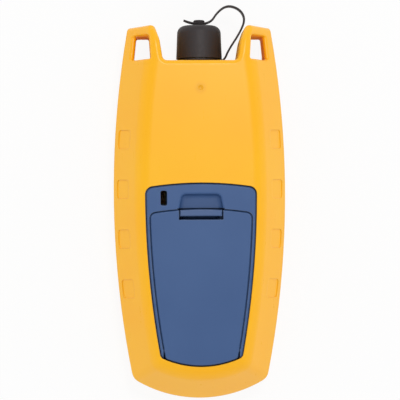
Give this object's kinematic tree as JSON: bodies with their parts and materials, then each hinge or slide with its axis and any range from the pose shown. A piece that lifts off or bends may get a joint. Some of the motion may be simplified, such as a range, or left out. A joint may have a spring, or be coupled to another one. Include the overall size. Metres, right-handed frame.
{
  "type": "handheld optical fibre fault locator",
  "caption": "Handheld optical fibre fault locator: curved moulded case with loop horns, capped optical port and tether, hinged battery door with spring latch, keys on the front.",
  "frame": {"origin": "middle of the bounding box at the front face, which lies on the floor; the tether is left out", "axes": "+Z out of the back, which the battery door is on; +Y along the case towards the optical port; +X to the right seen from the back with the port up"},
  "size_m": [0.0758, 0.1735, 0.036],
  "materials": {
    "case_yellow": "fine satin texture",
    "panel_blue": "satin",
    "bay_blue": "fine satin texture",
    "key_rubber": "matt",
    "cap_rubber": "matt with a faint sheen",
    "light_pipe": "clear and glossy",
    "board_green": "solder mask",
    "black_plastic": "matt",
    "brass": "turned",
    "nickel": "plated",
    "bright_steel": "plated",
    "lens_glass": "clear",
    "ceramic": "polished",
    "cell_jacket": "printed film, left plain"
  },
  "bodies": {
    "housing": {"rear_case": "case_yellow", "front_case": "case_yellow", "front_panel": "panel_blue", "indicator_left": "light_pipe", "indicator_middle": "light_pipe", "indicator_right": "light_pipe", "main_board": "board_green", "power_switch": "black_plastic", "mode_switch": "black_plastic", "driver_chip": "black_plastic", "laser_holder": "brass", "laser_diode": "bright_steel", "focus_lens": "lens_glass", "port_barrel": "nickel", "port_sleeve": "ceramic", "port_nut": "nickel", "cap_tether": "cap_rubber", "battery_bay": "bay_blue", "cell_left": "cell_jacket", "cell_right": "cell_jacket", "spring_left": "bright_steel", "spring_right": "bright_steel", "plate_left": "bright_steel", "plate_right": "bright_steel", "case_screws": "bright_steel", "board_screws": "bright_steel"},
    "door": {"battery_door": "bay_blue"},
    "latch": {"door_latch": "bay_blue"},
    "cap": {"dust_cap": "cap_rubber"},
    "power_button": {"power_key": "key_rubber"},
    "mode_button": {"mode_key": "key_rubber"}
  },
  "joints": [
    {"name": "door_hinge", "type": "hinge", "parent": "housing", "child": "door", "pos_m": [0, -0.061, 0.0345], "axis": [1, 0, 0], "range_deg": [0, 60]},
    {"name": "latch_flex", "type": "hinge", "parent": "door", "child": "latch", "pos_m": [0, -0.00375, 0.0282], "axis": [1, 0, 0], "range_deg": [0, 8], "stiffness_Nm_per_rad": 0.02},
    {"name": "cap_pull", "type": "slide", "parent": "housing", "child": "cap", "axis": [0, 1, 0], "range_m": [0, 0.025], "deforming": ["cap_tether"]},
    {"name": "power_key_press", "type": "slide", "parent": "housing", "child": "power_button", "axis": [0, 0, 1], "range_m": [0, 0.0007], "stiffness_N_per_m": 1500},
    {"name": "mode_key_press", "type": "slide", "parent": "housing", "child": "mode_button", "axis": [0, 0, 1], "range_m": [0, 0.0007], "stiffness_N_per_m": 1500}
  ]
}
